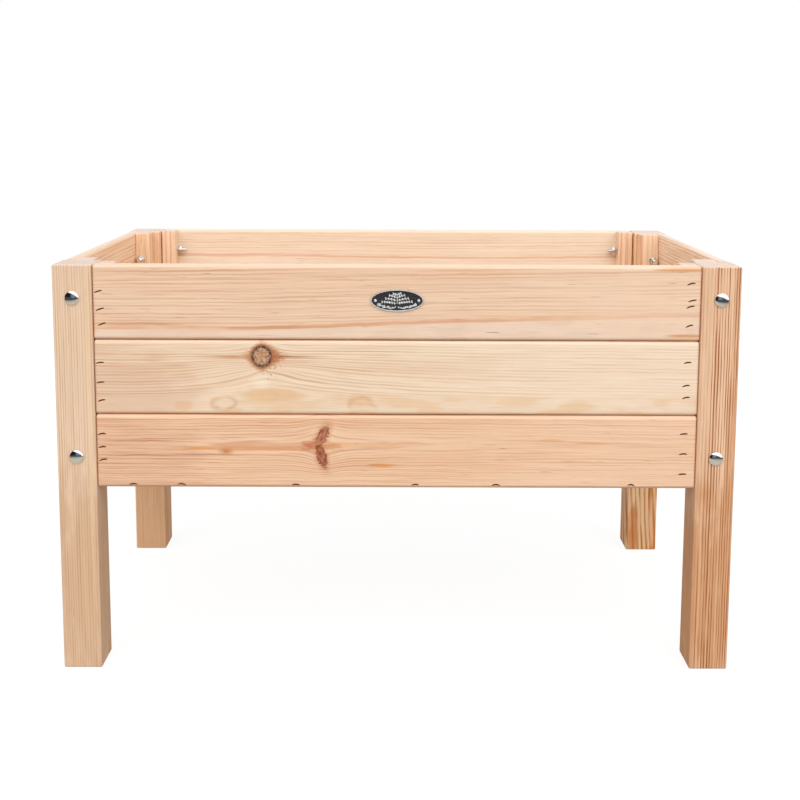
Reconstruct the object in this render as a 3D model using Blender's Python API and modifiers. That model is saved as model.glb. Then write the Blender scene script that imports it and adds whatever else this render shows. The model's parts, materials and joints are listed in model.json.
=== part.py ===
# Raised planter on legs: four square legs, four walls of three boards, corner battens,
# a slatted floor on bearers, sixteen coach bolts with their nuts, and a small oval badge.
# Metres, +Z up, +Y towards the back; the origin is on the ground under the middle.

import math
import bmesh
import bpy
from mathutils import Vector

# Driving sizes.
OVERALL_WIDTH = 0.785
OVERALL_DEPTH = 0.410
LEG_SIDE = 0.045
LEG_HEIGHT = 0.4815
RIM_HEIGHT = 0.482
BOARD_HIGH = 0.087
BOARD_THICK = 0.014
BOARDS_PER_WALL = 3
BOARD_GAP = 0.0004
WALL_RECESS = 0.001
END_GAP = 0.0012
CLEARANCE = 0.0003
CUTTER_PAST = 0.010
JOIN_BITE = 0.0003

# Corner battens, along their bolt and across it. The right wall has wider ones.
END_BATTEN = (0.020, 0.020)
SIDE_BATTEN = {"left": (0.022, 0.020), "right": (0.022, 0.026)}

# Floor.
BEARER_HIGH = 0.010
BEARER_DEEP = 0.020
FLOOR_BOARDS = 8
FLOOR_SLIP = 0.0008

# Rounded edges of the timber.
LEG_ROUND = 0.0020
BOARD_ROUND = 0.0035
BATTEN_ROUND = 0.0010

# Coach bolts, their nuts and washers (6 mm thread).
BOLT_RADIUS = 0.003
BOLT_LENGTH = 0.080
HEAD_RADIUS = 0.00825
HEAD_HIGH = 0.0036
HEAD_EDGE = 0.0004
DOME_STEPS = 4
BOLT_CHAMFER = 0.0006
NECK_SIDE = 0.006
NECK_LONG = 0.004
NECK_CLEARANCE = 0.0005
WASHER_RADIUS = 0.006
WASHER_THICK = 0.0016
NUT_FLATS = 0.010
NUT_THICK = 0.005
BOLT_Z = {"upper": 0.4433, "lower": 0.2573}
SIDE_BOLT_RISE = 0.009

# Oval badge.
BADGE_SIZE = (0.060, 0.025)
BADGE_THICK = 0.0020
BADGE_RIM = 0.0016
BADGE_SUNK = 0.0008
BADGE_ROUND = 0.0005
BADGE_Z = 0.4416
PIN_RADIUS = 0.0006
PIN_HEAD_RADIUS = 0.0011
PIN_HEAD_HIGH = 0.0006
PIN_LONG = 0.008
PIN_STEPS = 12
PIN_SPACING = 0.0495

# Worked out from the sizes above.
HALF_WIDTH = OVERALL_WIDTH / 2
HALF_DEPTH = OVERALL_DEPTH / 2
WALL_HIGH = BOARDS_PER_WALL * BOARD_HIGH + (BOARDS_PER_WALL - 1) * BOARD_GAP
WALL_BOTTOM = RIM_HEIGHT - WALL_HIGH
WALL_INNER = WALL_RECESS + BOARD_THICK
LEG_MID_X = HALF_WIDTH - LEG_SIDE / 2
LEG_MID_Y = HALF_DEPTH - LEG_SIDE / 2
BETWEEN_LEGS_X = HALF_WIDTH - LEG_SIDE - END_GAP
BETWEEN_LEGS_Y = HALF_DEPTH - LEG_SIDE - END_GAP
BATTEN_BOTTOM = WALL_BOTTOM + 2 * CLEARANCE + BEARER_HIGH
HOLE_RADIUS = BOLT_RADIUS + CLEARANCE
INNER_HALF_X = HALF_WIDTH - WALL_INNER - FLOOR_SLIP
INNER_HALF_Y = HALF_DEPTH - WALL_INNER - FLOOR_SLIP
FLOOR_BOTTOM = WALL_BOTTOM + CLEARANCE + BEARER_HIGH + CLEARANCE

# Colour, roughness and metallic value of each finish.
FINISHES = {
    "pine_leg": ((0.80, 0.56, 0.33, 1), 0.62, 0.0),
    "pine_board": ((0.86, 0.62, 0.40, 1), 0.60, 0.0),
    "pine_batten": ((0.85, 0.62, 0.38, 1), 0.65, 0.0),
    "pine_floor": ((0.78, 0.56, 0.34, 1), 0.70, 0.0),
    "zinc_steel": ((0.72, 0.73, 0.75, 1), 0.25, 1.0),
    "pewter": ((0.30, 0.30, 0.31, 1), 0.35, 1.0),
}

SIDES = {"left": -1, "right": 1}
ENDS = {"front": -1, "back": 1}


def clear_scene():
    for item in list(bpy.data.objects):
        bpy.data.objects.remove(item, do_unlink=True)


def make_collection(name):
    group = bpy.data.collections.new(name)
    bpy.context.scene.collection.children.link(group)
    return group


def make_material(name):
    colour, roughness, metallic = FINISHES[name]
    material = bpy.data.materials.new(name)
    material.use_nodes = True
    shader = material.node_tree.nodes["Principled BSDF"]
    shader.inputs["Base Color"].default_value = colour
    shader.inputs["Roughness"].default_value = roughness
    shader.inputs["Metallic"].default_value = metallic
    material.diffuse_color = colour
    return material


def finish(obj, material):
    # Each sub-part has a material of its own, held by the object because bolts share a mesh.
    own = material.copy()
    own.name = obj.name + "_" + material.name
    if not obj.data.materials:
        obj.data.materials.append(material)
    obj.material_slots[0].link = "OBJECT"
    obj.material_slots[0].material = own


def adopt(obj, name, group):
    obj.name = name
    obj.data.name = name
    for old in list(obj.users_collection):
        old.objects.unlink(obj)
    group.objects.link(obj)
    return obj


def make_box(name, group, low, high):
    size = Vector(high) - Vector(low)
    middle = (Vector(high) + Vector(low)) / 2
    mesh = bpy.data.meshes.new(name)
    body = bmesh.new()
    bmesh.ops.create_cube(body, size=1.0)
    bmesh.ops.scale(body, vec=size, verts=body.verts)
    body.to_mesh(mesh)
    body.free()
    obj = bpy.data.objects.new(name, mesh)
    obj.location = middle
    group.objects.link(obj)
    return obj


def make_rod(name, group, radius, start, end, sides=16):
    # A closed cylinder from start to end, for a hole or a pin.
    axis = Vector(end) - Vector(start)
    mesh = bpy.data.meshes.new(name)
    body = bmesh.new()
    bmesh.ops.create_cone(
        body, cap_ends=True, segments=sides, radius1=radius, radius2=radius, depth=axis.length
    )
    body.to_mesh(mesh)
    body.free()
    obj = bpy.data.objects.new(name, mesh)
    obj.location = (Vector(start) + Vector(end)) / 2
    obj.rotation_mode = "QUATERNION"
    obj.rotation_quaternion = axis.to_track_quat("Z", "Y")
    group.objects.link(obj)
    return obj


def make_cutter(obj):
    obj.hide_render = True
    obj.display_type = "WIRE"
    return obj


def round_edges(obj, width, segments=2):
    bevel = obj.modifiers.new("rounded_edges", "BEVEL")
    bevel.width = width
    bevel.segments = segments
    bevel.limit_method = "ANGLE"
    obj.data.shade_smooth()
    obj.data.set_sharp_from_angle(angle=math.radians(35))


def cut(obj, cutter):
    boolean = obj.modifiers.new("cut_" + cutter.name, "BOOLEAN")
    boolean.operation = "DIFFERENCE"
    boolean.solver = "EXACT"
    boolean.object = cutter


def join(obj, tool):
    boolean = obj.modifiers.new("join_" + tool.name, "BOOLEAN")
    boolean.operation = "UNION"
    boolean.solver = "EXACT"
    boolean.object = tool


def bolt_places():
    # Every coach bolt: its name, its corner, the point on the leg's outer face, and the way it
    # points in. Face bolts run along Y and hold a side wall; side bolts run along X, a little
    # higher so that the two clear each other inside the leg, and hold the front or back wall.
    places = []
    for end, end_sign in ENDS.items():
        for side, side_sign in SIDES.items():
            for level, height in BOLT_Z.items():
                name = f"coach_bolt_{end}_{side}"
                point = Vector((side_sign * LEG_MID_X, end_sign * HALF_DEPTH, height))
                places.append((f"{name}_face_{level}", (end, side), point, Vector((0, -end_sign, 0))))
                point = Vector((side_sign * HALF_WIDTH, end_sign * LEG_MID_Y, height + SIDE_BOLT_RISE))
                places.append((f"{name}_side_{level}", (end, side), point, Vector((-side_sign, 0, 0))))
    return places


def make_bolt_cutters(group):
    # A through hole and a square pocket for the neck, for each bolt, listed by corner and kind.
    cutters = {}
    half = NECK_SIDE / 2 + NECK_CLEARANCE
    for name, corner, point, inward in bolt_places():
        outside = point - inward * CUTTER_PAST
        inside = point + inward * (BOLT_LENGTH + CUTTER_PAST)
        hole = make_cutter(make_rod("hole_" + name, group, HOLE_RADIUS, outside, inside))
        pocket_end = point + inward * (NECK_LONG + NECK_CLEARANCE)
        across = Vector((abs(inward.y), abs(inward.x), 1)) * half
        ends = (outside - across, outside + across, pocket_end - across, pocket_end + across)
        low = [min(place[i] for place in ends) for i in range(3)]
        high = [max(place[i] for place in ends) for i in range(3)]
        pocket = make_cutter(make_box("pocket_" + name, group, low, high))
        kind = "face" if "_face_" in name else "side"
        cutters.setdefault((corner, kind), []).append((hole, pocket))
    return cutters


def make_leg(end, side, group, cutters):
    x, y = SIDES[side] * LEG_MID_X, ENDS[end] * LEG_MID_Y
    half = LEG_SIDE / 2
    leg = make_box(f"leg_{end}_{side}", group, (x - half, y - half, 0), (x + half, y + half, LEG_HEIGHT))
    round_edges(leg, LEG_ROUND)
    for kind in ("face", "side"):
        for hole, pocket in cutters[(end, side), kind]:
            cut(leg, hole)
            cut(leg, pocket)
    return leg


def make_wall_board(wall, row, group):
    # Row 0 is the lowest board.
    low_z = WALL_BOTTOM + row * (BOARD_HIGH + BOARD_GAP)
    high_z = low_z + BOARD_HIGH
    level = ("bottom", "middle", "top")[row]
    if wall in ENDS:
        outer = ENDS[wall] * (HALF_DEPTH - WALL_RECESS)
        inner = ENDS[wall] * (HALF_DEPTH - WALL_INNER)
        low = (-BETWEEN_LEGS_X, min(outer, inner), low_z)
        high = (BETWEEN_LEGS_X, max(outer, inner), high_z)
    else:
        outer = SIDES[wall] * (HALF_WIDTH - WALL_RECESS)
        inner = SIDES[wall] * (HALF_WIDTH - WALL_INNER)
        low = (min(outer, inner), -BETWEEN_LEGS_Y, low_z)
        high = (max(outer, inner), BETWEEN_LEGS_Y, high_z)
    board = make_box(f"{wall}_board_{level}", group, low, high)
    round_edges(board, BOARD_ROUND)
    return board


def make_end_batten(end, side, group, cutters):
    # Behind one end of the front or back wall; its bolt runs along X.
    along, across = END_BATTEN
    outer_x = SIDES[side] * BETWEEN_LEGS_X
    inner_x = SIDES[side] * (BETWEEN_LEGS_X - along)
    outer_y = ENDS[end] * (HALF_DEPTH - WALL_INNER - CLEARANCE)
    inner_y = ENDS[end] * (HALF_DEPTH - WALL_INNER - CLEARANCE - across)
    low = (min(outer_x, inner_x), min(outer_y, inner_y), BATTEN_BOTTOM)
    high = (max(outer_x, inner_x), max(outer_y, inner_y), LEG_HEIGHT)
    batten = make_box(f"{end}_wall_batten_{side}", group, low, high)
    round_edges(batten, BATTEN_ROUND)
    for hole, pocket in cutters[(end, side), "side"]:
        cut(batten, hole)
    return batten


def make_side_batten(end, side, group, cutters):
    # Behind one end of the left or right wall; its bolt runs along Y.
    along, across = SIDE_BATTEN[side]
    outer_x = SIDES[side] * (HALF_WIDTH - WALL_INNER - CLEARANCE)
    inner_x = SIDES[side] * (HALF_WIDTH - WALL_INNER - CLEARANCE - across)
    outer_y = ENDS[end] * BETWEEN_LEGS_Y
    inner_y = ENDS[end] * (BETWEEN_LEGS_Y - along)
    low = (min(outer_x, inner_x), min(outer_y, inner_y), BATTEN_BOTTOM)
    high = (max(outer_x, inner_x), max(outer_y, inner_y), LEG_HEIGHT)
    batten = make_box(f"{side}_wall_batten_{end}", group, low, high)
    round_edges(batten, BATTEN_ROUND)
    for hole, pocket in cutters[(end, side), "face"]:
        cut(batten, hole)
    return batten


def make_bearer(wall, group):
    low_z = WALL_BOTTOM + CLEARANCE
    high_z = low_z + BEARER_HIGH
    if wall in ENDS:
        outer = ENDS[wall] * (HALF_DEPTH - WALL_INNER - CLEARANCE)
        inner = ENDS[wall] * (HALF_DEPTH - WALL_INNER - CLEARANCE - BEARER_DEEP)
        low = (-BETWEEN_LEGS_X, min(outer, inner), low_z)
        high = (BETWEEN_LEGS_X, max(outer, inner), high_z)
    else:
        outer = SIDES[wall] * (HALF_WIDTH - WALL_INNER - CLEARANCE)
        inner = SIDES[wall] * (HALF_WIDTH - WALL_INNER - CLEARANCE - BEARER_DEEP)
        low = (min(outer, inner), -BETWEEN_LEGS_Y, low_z)
        high = (max(outer, inner), BETWEEN_LEGS_Y, high_z)
    bearer = make_box(f"{wall}_floor_bearer", group, low, high)
    round_edges(bearer, BATTEN_ROUND)
    return bearer


def make_floor_board(number, group, cutter_group):
    # The boards run from front to back; the two end ones are notched round the corners.
    pitch = (2 * INNER_HALF_X - BOARD_HIGH) / (FLOOR_BOARDS - 1)
    low_x = -INNER_HALF_X + number * pitch
    low = (low_x, -INNER_HALF_Y, FLOOR_BOTTOM)
    high = (low_x + BOARD_HIGH, INNER_HALF_Y, FLOOR_BOTTOM + BOARD_THICK)
    board = make_box(f"floor_board_{number + 1}", group, low, high)
    round_edges(board, BOARD_ROUND)
    if number in (0, FLOOR_BOARDS - 1):
        side = "left" if number == 0 else "right"
        notch_x = BETWEEN_LEGS_X - END_BATTEN[0] - FLOOR_SLIP
        notch_y = BETWEEN_LEGS_Y - SIDE_BATTEN[side][0] - FLOOR_SLIP
        for end, end_sign in ENDS.items():
            xs = sorted((SIDES[side] * notch_x, SIDES[side] * HALF_WIDTH))
            ys = sorted((end_sign * notch_y, end_sign * HALF_DEPTH))
            low = (xs[0], ys[0], FLOOR_BOTTOM - CUTTER_PAST)
            high = (xs[1], ys[1], FLOOR_BOTTOM + BOARD_THICK + CUTTER_PAST)
            cut(board, make_cutter(make_box(f"notch_{side}_{end}", cutter_group, low, high)))
    return board


def bolt_profile(stack):
    # Radius and height down the outside of a bolt with its washer, head at the top.
    points = []
    for i in range(DOME_STEPS + 1):
        angle = math.radians(90) * i / DOME_STEPS
        dome = CLEARANCE + HEAD_EDGE + (HEAD_HIGH - HEAD_EDGE) * math.cos(angle)
        points.append((HEAD_RADIUS * math.sin(angle), dome))
    washer_top = -(stack + CLEARANCE)
    washer_low = washer_top - WASHER_THICK
    end = CLEARANCE - BOLT_LENGTH
    points.append((HEAD_RADIUS, CLEARANCE))
    points.append((BOLT_RADIUS, CLEARANCE))
    points.append((BOLT_RADIUS, washer_top))
    points.append((WASHER_RADIUS, washer_top))
    points.append((WASHER_RADIUS, washer_low))
    points.append((BOLT_RADIUS, washer_low))
    points.append((BOLT_RADIUS, end + BOLT_CHAMFER))
    points.append((BOLT_RADIUS - BOLT_CHAMFER, end))
    points.append((0, end))
    return points


def make_lathe(name, group, points, steps=16):
    # Turns a profile, given top to bottom, about the Z axis.
    mesh = bpy.data.meshes.new(name)
    body = bmesh.new()
    previous = None
    for radius, height in points:
        vertex = body.verts.new((radius, 0, height))
        if previous is not None:
            body.edges.new((previous, vertex))
        previous = vertex
    body.to_mesh(mesh)
    body.free()
    obj = bpy.data.objects.new(name, mesh)
    group.objects.link(obj)
    screw = obj.modifiers.new("turned", "SCREW")
    screw.axis = "Z"
    screw.steps = steps
    screw.render_steps = steps
    screw.use_merge_vertices = True
    screw.merge_threshold = 0.00005
    return obj


def make_bolt_mesh(name, stack, cutter_group):
    # One coach bolt with its washer and nut as one closed body, pointing down from the origin.
    turned = make_lathe(name + "_turned", cutter_group, bolt_profile(stack))
    # The neck and the nut bite a little way into the head and the washer, so that they join.
    half = NECK_SIDE / 2
    neck_low = (-half, -half, CLEARANCE - NECK_LONG)
    neck = make_box(name + "_neck", cutter_group, neck_low, (half, half, CLEARANCE + JOIN_BITE))
    washer_low = -(stack + CLEARANCE + WASHER_THICK)
    nut_top = washer_low + JOIN_BITE
    nut_low = washer_low - NUT_THICK
    corner_radius = NUT_FLATS / math.sqrt(3)
    nut = make_rod(name + "_nut", cutter_group, corner_radius, (0, 0, nut_top), (0, 0, nut_low), 6)
    join(turned, neck)
    join(turned, nut)
    bpy.context.view_layer.update()
    shape = turned.evaluated_get(bpy.context.evaluated_depsgraph_get())
    mesh = bpy.data.meshes.new_from_object(shape)
    mesh.name = name
    for spare in (turned, neck, nut):
        bpy.data.objects.remove(spare, do_unlink=True)
    mesh.shade_smooth()
    mesh.set_sharp_from_angle(angle=math.radians(30))
    return mesh


def make_bolts(group, cutter_group):
    face_mesh = make_bolt_mesh("face_bolt", LEG_SIDE + END_GAP + SIDE_BATTEN["left"][0], cutter_group)
    side_mesh = make_bolt_mesh("side_bolt", LEG_SIDE + END_GAP + END_BATTEN[0], cutter_group)
    bolts = []
    for name, corner, point, inward in bolt_places():
        mesh = face_mesh if "_face_" in name else side_mesh
        bolt = bpy.data.objects.new(name, mesh)
        bolt.location = point
        bolt.rotation_euler = (math.radians(90) * inward.y, -math.radians(90) * inward.x, 0)
        group.objects.link(bolt)
        bolts.append(bolt)
    return bolts


def make_oval(name, group, size, low_y, high_y, sides=48):
    # A flat oval standing upright, from low_y to high_y.
    mesh = bpy.data.meshes.new(name)
    body = bmesh.new()
    bmesh.ops.create_cone(body, cap_ends=True, segments=sides, radius1=0.5, radius2=0.5, depth=1)
    bmesh.ops.scale(body, vec=(size[0], size[1], high_y - low_y), verts=body.verts)
    body.to_mesh(mesh)
    body.free()
    obj = bpy.data.objects.new(name, mesh)
    obj.location = (0, (low_y + high_y) / 2, BADGE_Z)
    obj.rotation_euler = (math.radians(90), 0, 0)
    group.objects.link(obj)
    return obj


def pin_profile():
    # A domed head, a thin shank and a point, top to bottom.
    return [
        (0, PIN_HEAD_HIGH + CLEARANCE),
        (PIN_HEAD_RADIUS * math.sin(math.radians(45)), PIN_HEAD_HIGH * math.sin(math.radians(45)) + CLEARANCE),
        (PIN_HEAD_RADIUS, CLEARANCE),
        (PIN_RADIUS, CLEARANCE),
        (PIN_RADIUS, -PIN_LONG),
        (0, -PIN_LONG - PIN_RADIUS),
    ]


def make_badge(group, cutter_group, top_board):
    # An oval plate with a raised rim, held by two small pins.
    wall_face = -(HALF_DEPTH - WALL_RECESS)
    back = wall_face - CLEARANCE
    front = back - BADGE_THICK
    plate = make_oval("badge_plate", group, BADGE_SIZE, front, back)
    round_edges(plate, BADGE_ROUND)
    field = (BADGE_SIZE[0] - 2 * BADGE_RIM, BADGE_SIZE[1] - 2 * BADGE_RIM)
    field_face = front + BADGE_SUNK
    cut(plate, make_cutter(make_oval("badge_field", cutter_group, field, front - CUTTER_PAST, field_face)))
    pins = []
    for side, side_sign in SIDES.items():
        x = side_sign * PIN_SPACING / 2
        outside = (x, front - CUTTER_PAST, BADGE_Z)
        inside = (x, field_face + PIN_LONG + 2 * PIN_RADIUS, BADGE_Z)
        hole_radius = PIN_RADIUS + CLEARANCE
        hole = make_cutter(make_rod(f"pin_hole_{side}", cutter_group, hole_radius, outside, inside, PIN_STEPS))
        cut(plate, hole)
        cut(top_board, hole)
        pin = make_lathe(f"badge_pin_{side}", group, pin_profile(), PIN_STEPS)
        pin.location = (x, field_face, BADGE_Z)
        pin.rotation_euler = (math.radians(90), 0, 0)
        pins.append(pin)
    return plate, pins


def build():
    clear_scene()
    planter = make_collection("raised_planter")
    cutter_group = make_collection("cutters")
    materials = {name: make_material(name) for name in FINISHES}
    cutters = make_bolt_cutters(cutter_group)

    legs = [make_leg(end, side, planter, cutters) for end in ENDS for side in SIDES]
    boards = {}
    for wall in ("front", "back", "left", "right"):
        for row in range(BOARDS_PER_WALL):
            board = make_wall_board(wall, row, planter)
            boards[board.name] = board
    battens = [make_end_batten(end, side, planter, cutters) for end in ENDS for side in SIDES]
    battens += [make_side_batten(end, side, planter, cutters) for end in ENDS for side in SIDES]
    bearers = [make_bearer(wall, planter) for wall in ("front", "back", "left", "right")]
    floor = [make_floor_board(number, planter, cutter_group) for number in range(FLOOR_BOARDS)]
    bolts = make_bolts(planter, cutter_group)
    plate, pins = make_badge(planter, cutter_group, boards["front_board_top"])

    for obj in legs:
        finish(obj, materials["pine_leg"])
    for obj in boards.values():
        finish(obj, materials["pine_board"])
    for obj in battens:
        finish(obj, materials["pine_batten"])
    for obj in bearers + floor:
        finish(obj, materials["pine_floor"])
    for obj in bolts:
        finish(obj, materials["zinc_steel"])
    for obj in [plate] + pins:
        finish(obj, materials["pewter"])


build()
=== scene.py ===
import json
import math
import random
import bmesh
import bpy
from mathutils import Matrix, Vector

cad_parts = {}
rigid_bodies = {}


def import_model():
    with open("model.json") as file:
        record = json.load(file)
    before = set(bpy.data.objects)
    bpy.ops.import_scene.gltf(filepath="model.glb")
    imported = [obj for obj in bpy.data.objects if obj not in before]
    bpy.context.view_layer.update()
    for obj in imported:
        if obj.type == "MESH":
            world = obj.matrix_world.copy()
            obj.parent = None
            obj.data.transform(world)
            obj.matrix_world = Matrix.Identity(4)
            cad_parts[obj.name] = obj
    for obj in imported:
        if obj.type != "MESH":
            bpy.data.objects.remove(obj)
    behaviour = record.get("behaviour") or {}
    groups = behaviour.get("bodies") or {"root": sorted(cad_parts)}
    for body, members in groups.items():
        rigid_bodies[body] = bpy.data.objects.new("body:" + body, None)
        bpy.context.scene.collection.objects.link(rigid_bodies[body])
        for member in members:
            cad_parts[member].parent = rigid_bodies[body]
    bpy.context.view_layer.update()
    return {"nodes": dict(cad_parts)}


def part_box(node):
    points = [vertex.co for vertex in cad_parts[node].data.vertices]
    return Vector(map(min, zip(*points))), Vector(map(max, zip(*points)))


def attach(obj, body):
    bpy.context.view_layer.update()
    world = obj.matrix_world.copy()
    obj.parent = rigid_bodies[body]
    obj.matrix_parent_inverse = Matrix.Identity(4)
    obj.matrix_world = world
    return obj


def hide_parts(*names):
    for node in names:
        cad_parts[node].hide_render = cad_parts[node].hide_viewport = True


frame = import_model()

# Raised planter on legs: the looks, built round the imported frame. Metres, +Z up, +Y to the back.

scene = bpy.context.scene
planter = bpy.data.collections.new("raised_planter")
workshop = bpy.data.collections.new("workshop")
scene.collection.children.link(planter)
scene.collection.children.link(workshop)
axisOf = {"X": Vector((1, 0, 0)), "Y": Vector((0, 1, 0)), "Z": Vector((0, 0, 1))}
ends = {"front": -1, "back": 1}
sides = {"left": -1, "right": 1}
print("frame loaded,", len(frame["nodes"]), "parts")


# Shader helpers: node outputs that add and multiply like numbers.

def paint(red, green, blue):
    # Screen values from 0 to 255, as the linear colour a shader wants.
    def linear(value):
        value = value / 255
        return value / 12.92 if value <= 0.04045 else ((value + 0.055) / 1.055) ** 2.4
    return (linear(red), linear(green), linear(blue), 1)


def plug(place, value):
    # A signal is linked; a number, colour or vector is set on the socket.
    if isinstance(value, Signal):
        value.tree.links.new(value.out, place)
    else:
        place.default_value = value


class Signal:
    # A node's output that can be added, multiplied and so on, each making a Math node.
    def __init__(self, tree, out):
        self.tree = tree
        self.out = out

    def calc(self, operation, *others):
        node = self.tree.nodes.new("ShaderNodeMath")
        node.operation = operation
        for place, value in zip(node.inputs, (self,) + others):
            plug(place, value)
        return Signal(self.tree, node.outputs[0])

    def __add__(self, other):
        return self.calc("ADD", other)

    def __sub__(self, other):
        return self.calc("SUBTRACT", other)

    def __mul__(self, other):
        return self.calc("MULTIPLY", other)

    def __truediv__(self, other):
        return self.calc("DIVIDE", other)

    __radd__ = __add__
    __rmul__ = __mul__

    def __rsub__(self, other):
        return self * -1 + other

    def squared(self):
        return self * self

    def root(self):
        return self.calc("SQRT")

    def size(self):
        return self.calc("ABSOLUTE")

    def fall(self):
        # 1 at zero, dying away as the value grows.
        return (self * -1).calc("EXPONENT")

    def rise(self, low, high):
        # Smooth step from 0 at low to 1 at high; with low above high it falls instead.
        node = self.tree.nodes.new("ShaderNodeMapRange")
        node.interpolation_type = "SMOOTHSTEP"
        node.inputs["From Min"].default_value = low
        node.inputs["From Max"].default_value = high
        plug(node.inputs["Value"], self)
        return Signal(self.tree, node.outputs["Result"])


def objectPlace(tree):
    return Signal(tree, tree.nodes.new("ShaderNodeTexCoord").outputs["Object"])


def split(vector):
    tree = vector.tree
    node = tree.nodes.new("ShaderNodeSeparateXYZ")
    plug(node.inputs[0], vector)
    return [Signal(tree, out) for out in node.outputs]


def stretch(vector, factors, shift):
    tree = vector.tree
    node = tree.nodes.new("ShaderNodeVectorMath")
    node.operation = "MULTIPLY_ADD"
    plug(node.inputs[0], vector)
    node.inputs[1].default_value = factors
    node.inputs[2].default_value = shift
    return Signal(tree, node.outputs[0])


def gather(x, y, z):
    tree = x.tree
    node = tree.nodes.new("ShaderNodeCombineXYZ")
    for place, value in zip(node.inputs, (x, y, z)):
        plug(place, value)
    return Signal(tree, node.outputs[0])


def noise(vector, scale=1.0, detail=2.0, rough=0.5):
    tree = vector.tree
    node = tree.nodes.new("ShaderNodeTexNoise")
    plug(node.inputs["Vector"], vector)
    node.inputs["Scale"].default_value = scale
    node.inputs["Detail"].default_value = detail
    node.inputs["Roughness"].default_value = rough
    return Signal(tree, node.outputs["Fac"])


def lineNoise(value, detail=1.0):
    tree = value.tree
    node = tree.nodes.new("ShaderNodeTexNoise")
    node.noise_dimensions = "1D"
    plug(node.inputs["W"], value)
    node.inputs["Scale"].default_value = 1.0
    node.inputs["Detail"].default_value = detail
    return Signal(tree, node.outputs["Fac"])


def chance(value):
    tree = value.tree
    node = tree.nodes.new("ShaderNodeTexWhiteNoise")
    node.noise_dimensions = "1D"
    plug(node.inputs["W"], value)
    return Signal(tree, node.outputs["Value"])


def blend(amount, under, over, kind="MIX"):
    tree = next(value.tree for value in (amount, under, over) if isinstance(value, Signal))
    node = tree.nodes.new("ShaderNodeMix")
    node.data_type = "RGBA"
    node.blend_type = kind
    plug(node.inputs[0], amount)
    plug(node.inputs[6], under)
    plug(node.inputs[7], over)
    return Signal(tree, node.outputs[2])


def addBump(shader, height, strength, distance):
    node = height.tree.nodes.new("ShaderNodeBump")
    node.inputs["Strength"].default_value = strength
    node.inputs["Distance"].default_value = distance
    plug(node.inputs["Height"], height)
    height.tree.links.new(node.outputs[0], shader.inputs["Normal"])


def newMaterial(name):
    material = bpy.data.materials.new(name)
    material.use_nodes = True
    tree = material.node_tree
    return material, tree, tree.nodes["Principled BSDF"]


# Pine, worked out from yearly rings round a pith.

# What every piece of pine has unless its own look says otherwise. Lengths run along the piece,
# across is over its face and deep is through it, all from the middle of the piece.
pine = {
    "pale": paint(243, 214, 186),       # soft early wood
    "dark": paint(206, 158, 118),       # late wood lines
    "warm": paint(238, 199, 164),       # slow drift of tone
    "drift": 0.6,
    "ring": 0.0043,                     # one year's growth
    "uneven": 0.9,                      # how much the years differ in width
    "even": 0.35,                       # how dark the faintest year is beside the darkest
    "pith": (0.140, -0.020),            # across, deep
    "lean": 0.0,                        # how the pith runs off across
    "drop": (0.0, 0.0, 0.3),            # where it lies nearest the face, how far it sinks, how soon
    "contrast": 0.60,
    "streaks": 0.40,                    # irregular lines between the years
    "wander": 0.005,
    "wiggle": 0.0011,
    "fibre": 0.12,
    "dashes": 0.35,
    "pushes": [],       # grain pulled up: along, across, amount, reach before, after, below, above
    "bulges": [],       # grain parted round a knot: along, across, amount, reach along, across
    "marks": [],        # streaks that follow the grain: along, grain, half long, half wide, tone, amount
    "zones": [],        # bands: level, slope, soft, wide, tone, other tone, amount, calm
    "bend": -0.4,       # the bands run level up to here along the piece, then at their slope
    "tonePatches": [],       # soft patches: along, across, half long, half wide, tone, amount
    "eyes": [],         # closed rings in the grain: along, across, half long, half wide, amount
    "quiet": (0.0, 0.1, 0.0),   # lines fade from here to there along the piece, by this much
    "rim": 0.0,         # how far the top face of the upper edge is turned a paler, greyer tone
    "edges": 0.0,       # how strongly planed edges get a painted highlight above and painted shade below and at the ends
    "knots": [],
    "endPale": paint(236, 204, 176),
    "endDark": paint(206, 158, 120),
    "dashTone": paint(150, 98, 66),
    "paintedCrestHighlight": paint(253, 230, 206),      # painted highlight where a planed edge catches the light
    "rimTone": paint(244, 222, 204),
    # painted shade, multiplied in along the joints and at the board ends
    "jointShade": (0.72, 0.46, 0.31, 1),
    "rough": 0.60,
    "bump": 0.12,
}

knotTones = {
    "core": paint(172, 126, 98),
    "corePale": paint(216, 176, 146),
    "heart": paint(206, 152, 100),
    "coreDark": paint(104, 64, 46),
    "ring": paint(58, 36, 30),
    "halo": paint(204, 140, 94),
    "haloDark": paint(158, 92, 60),
    "spike": paint(198, 134, 102),
    "spikeDark": paint(136, 64, 36),
    "spikeHalo": paint(210, 142, 104),
    "pin": paint(212, 132, 78),
}


def pushGrain(along, across, push):
    l, w, amount, before, after, below, above = push
    run, off = along - l, across - w
    dl = (run * (1 / after)).calc("MAXIMUM", run * (-1 / before))
    dw = (off * (1 / above)).calc("MAXIMUM", off * (-1 / below))
    return (dl.squared() + dw.squared()).root().fall() * amount


def partGrain(along, across, bulge):
    l, w, amount, reachAlong, reachAcross = bulge
    off = across - w
    q = ((along - l) * (1 / reachAlong)).squared() + (off * (1 / reachAcross)).squared()
    return q.fall() * off * amount


def ellipse(along, across, l, w, a, b, turn=0.0):
    # Squared distance from (l, w), 1 on an ellipse with those half sizes.
    dl, dw = along - l, across - w
    c, s = math.cos(math.radians(turn)), math.sin(math.radians(turn))
    return ((dl * c + dw * s) * (1 / a)).squared() + ((dw * c - dl * s) * (1 / b)).squared()


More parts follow.
